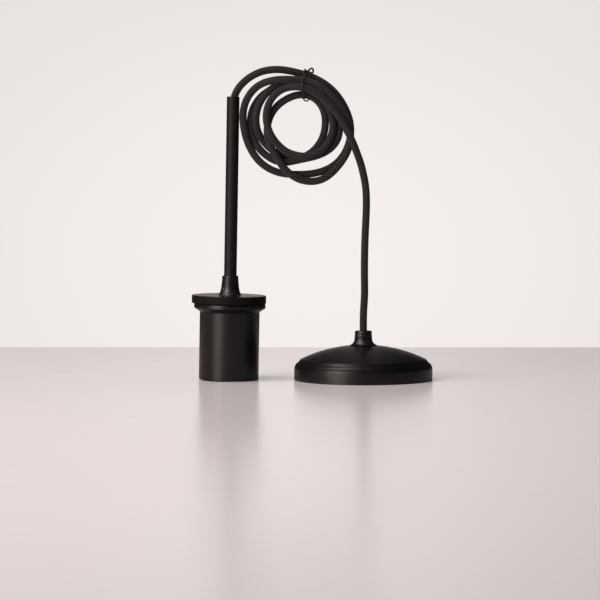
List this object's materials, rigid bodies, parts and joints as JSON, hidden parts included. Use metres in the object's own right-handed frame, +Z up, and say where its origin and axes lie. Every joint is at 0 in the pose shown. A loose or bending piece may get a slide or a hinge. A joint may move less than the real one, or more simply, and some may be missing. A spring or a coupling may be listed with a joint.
{
  "type": "pendant light fitting",
  "caption": "Satin black pendant light fitting at rest: cylindrical lamp holder with a straight stem, tied coil of textile cord and domed ceiling canopy.",
  "frame": {"origin": "on the table, below the middle of the holder and the canopy taken together", "axes": "+X from the lamp holder to the canopy, +Y to the back, +Z up"},
  "size_m": [0.2, 0.115, 0.2644],
  "materials": {
    "satin_black": "satin black powder coat on spun and turned steel",
    "black_screw": "blackened steel",
    "black_resin": "moulded phenolic resin, semi matte",
    "black_textile": "braided black textile over a round flexible cord",
    "tie_string": "thin black string",
    "ceramic": "glazed ceramic",
    "brass": "pressed and machined, satin",
    "zinc": "bright zinc plate",
    "natural_nylon": "moulded natural nylon",
    "brown_insulation": "smooth insulation",
    "blue_insulation": "smooth insulation",
    "green_yellow_insulation": "smooth insulation with a second colour along it"
  },
  "bodies": {
    "root": {"barrel_screw_1_back": "zinc", "barrel_screw_1_front": "zinc", "barrel_screw_2_back": "zinc", "barrel_screw_2_front": "zinc", "barrel_screw_3_back": "zinc", "barrel_screw_3_front": "zinc", "canopy_core_earth": "green_yellow_insulation", "canopy_core_live": "brown_insulation", "canopy_core_neutral": "blue_insulation", "canopy_neck": "satin_black", "canopy_shell": "satin_black", "ceiling_strap": "zinc", "centre_contact": "brass", "clamp_disc": "satin_black", "clamp_screw_left": "zinc", "clamp_screw_right": "zinc", "contact_block": "ceramic", "cord_clamp_back": "natural_nylon", "cord_clamp_front": "natural_nylon", "cord_coil": "black_textile", "cord_drop": "black_textile", "cord_in_neck": "black_textile", "cord_in_stem": "black_textile", "cord_rise": "black_textile", "cord_tie": "tie_string", "cup_nut": "zinc", "earth_lug": "zinc", "earth_screw": "zinc", "grip_screw": "black_screw", "holder_core_earth": "green_yellow_insulation", "holder_core_live": "brown_insulation", "holder_core_neutral": "blue_insulation", "holder_cup": "satin_black", "inlet_bush": "brass", "live_terminal": "brass", "live_terminal_screw": "zinc", "neck_nut": "zinc", "neck_washer": "zinc", "neutral_terminal": "brass", "neutral_terminal_screw": "zinc", "screw_shell": "brass", "side_screw_left": "black_screw", "side_screw_right": "black_screw", "socket_cap": "black_resin", "socket_skirt": "black_resin", "stem_collar": "satin_black", "stem_tube": "satin_black", "terminal_barrel_1": "brass", "terminal_barrel_2": "brass", "terminal_barrel_3": "brass", "terminal_housing": "natural_nylon"}
  },
  "joints": []
}
